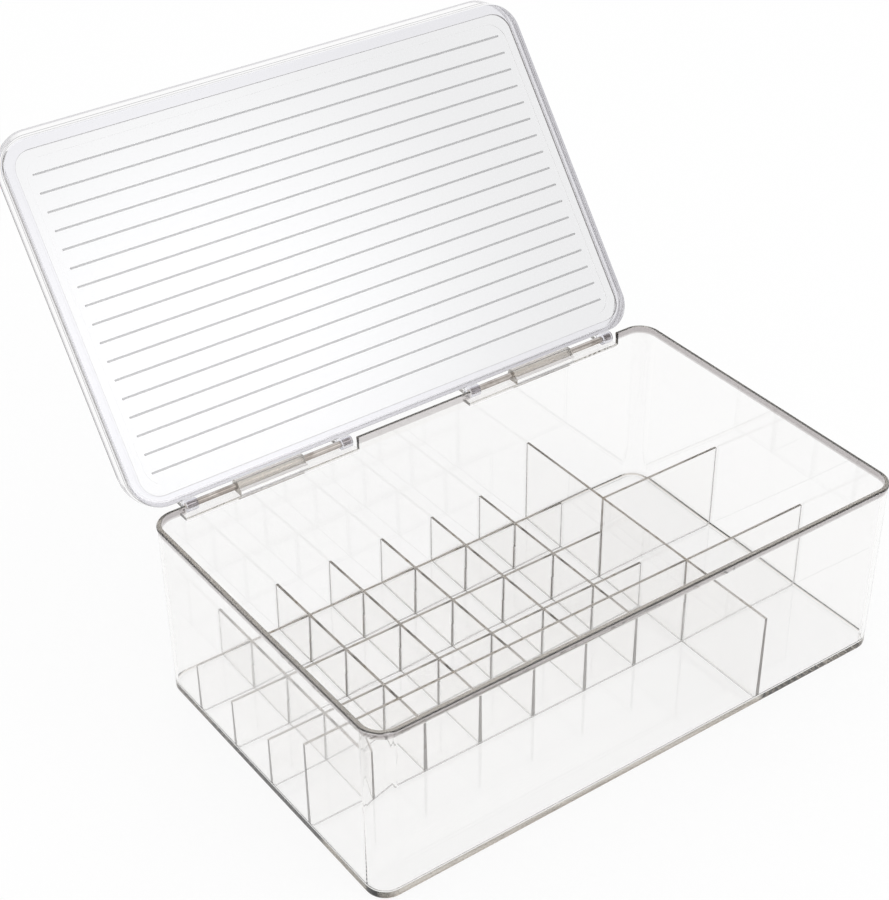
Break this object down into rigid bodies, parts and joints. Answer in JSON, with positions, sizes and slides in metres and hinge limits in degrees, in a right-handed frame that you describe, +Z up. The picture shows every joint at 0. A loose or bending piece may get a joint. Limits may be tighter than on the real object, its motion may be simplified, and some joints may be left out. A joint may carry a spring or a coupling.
{
  "type": "makeup organizer",
  "caption": "Clear rounded organizer box with low and tall fixed dividers and a ribbed tray lid that stands open on two steel hinge pins.",
  "frame": {"origin": "centre of the flat underside of the tub", "axes": "+X along the long side, +Y towards the hinges, +Z up; the lid stands open"},
  "size_m": [0.2742, 0.2869, 0.2171],
  "materials": {
    "clear_tub": "clear glossy moulded plastic",
    "clear_divider": "clear glossy moulded plastic",
    "clear_lid": "clear glossy moulded plastic, faintly ribbed",
    "pin_steel": "bright drawn steel"
  },
  "bodies": {
    "root": {"tub": "clear_tub", "divider_row_back": "clear_divider", "divider_row_middle": "clear_divider", "divider_row_front": "clear_divider", "divider_long_tall": "clear_divider", "divider_right_tall": "clear_divider", "divider_column_1": "clear_divider", "divider_column_2": "clear_divider", "divider_column_3": "clear_divider", "divider_column_4": "clear_divider", "divider_column_5": "clear_divider", "divider_column_6": "clear_divider", "divider_column_tall": "clear_divider", "hinge_pin_left": "pin_steel", "hinge_pin_right": "pin_steel"},
    "lid": {"lid": "clear_lid"}
  },
  "joints": [
    {"name": "lid_hinge", "type": "hinge", "parent": "root", "child": "lid", "pos_m": [0, 0.08653, 0.0854], "axis": [1, 0, 0], "range_deg": [0, 128]}
  ]
}
